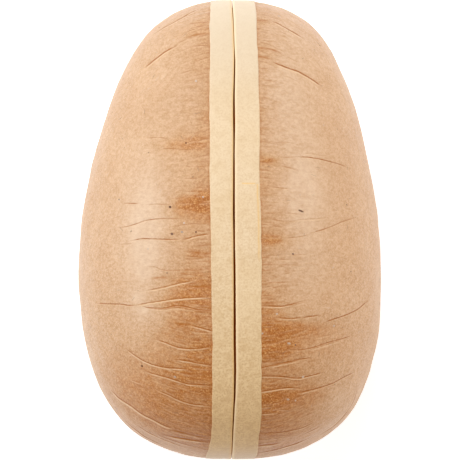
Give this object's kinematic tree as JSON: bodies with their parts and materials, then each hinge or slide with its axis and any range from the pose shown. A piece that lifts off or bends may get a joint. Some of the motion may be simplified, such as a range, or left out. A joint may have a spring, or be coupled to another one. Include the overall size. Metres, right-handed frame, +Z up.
{
  "type": "papier-mache egg box",
  "caption": "Shut egg-shaped gift box of kraft papier-mache in two half shells, each rim bound with cream paper tape, lying on its side with a collar showing in the seam.",
  "frame": {"origin": "middle of the underside of the whole box's bounding box, on the surface it lies on", "axes": "+Y along the egg's length towards the narrow end, +Z up, +X across the seam towards the right half"},
  "size_m": [0.0993, 0.1504, 0.0997],
  "materials": {
    "kraft_paper": "matt, fibrous",
    "cream_tape": "matt, smooth",
    "collar_card": "matt"
  },
  "bodies": {
    "root": {"shell_left": "kraft_paper", "shell_right": "kraft_paper", "tape_left": "cream_tape", "tape_right": "cream_tape", "collar": "collar_card"}
  },
  "joints": []
}
